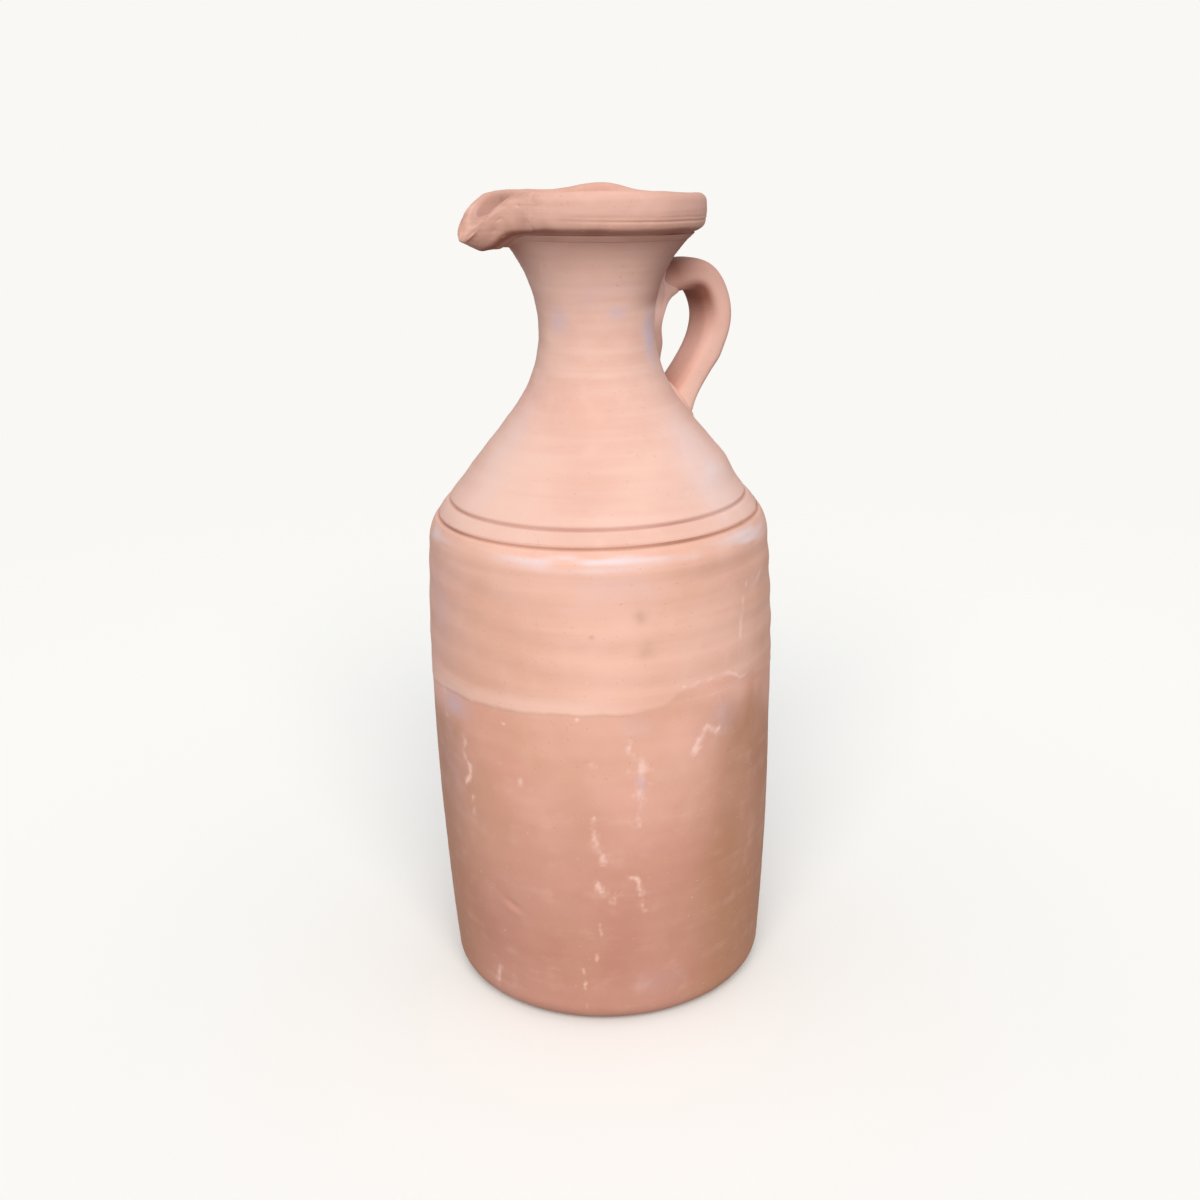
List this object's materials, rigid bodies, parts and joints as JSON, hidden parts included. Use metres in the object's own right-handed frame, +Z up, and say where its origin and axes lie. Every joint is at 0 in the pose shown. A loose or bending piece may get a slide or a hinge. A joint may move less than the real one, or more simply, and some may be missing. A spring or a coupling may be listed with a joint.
{
  "type": "terracotta water jar",
  "caption": "Tall unglazed terracotta water jar with a narrow leaning neck, a rolled rim drawn into a pouring spout, and a small strap handle.",
  "frame": {"origin": "centre of the foot's flat underside", "axes": "+Z up along the body's axis, +X towards the handle, -X towards the spout"},
  "size_m": [0.194, 0.194, 0.4501],
  "materials": {
    "lower_body_clay": "matte unglazed fired clay with pale mineral runs",
    "upper_body_clay": "matte unglazed fired clay with finger ridges",
    "neck_clay": "matte unglazed fired clay",
    "rim_clay": "matte unglazed fired clay, pitted",
    "handle_clay": "matte unglazed fired clay, finger pulled",
    "lute_clay": "matte fired clay pads, wiped on",
    "seam_slip": "matte fired slip"
  },
  "bodies": {
    "root": {"lower_body": "lower_body_clay", "body_seam_slip": "seam_slip", "upper_body": "upper_body_clay", "shoulder_seam_slip": "seam_slip", "neck": "neck_clay", "rim_seam_slip": "seam_slip", "pouring_rim": "rim_clay", "handle": "handle_clay", "handle_top_lute": "lute_clay", "handle_foot_lute": "lute_clay"}
  },
  "joints": []
}
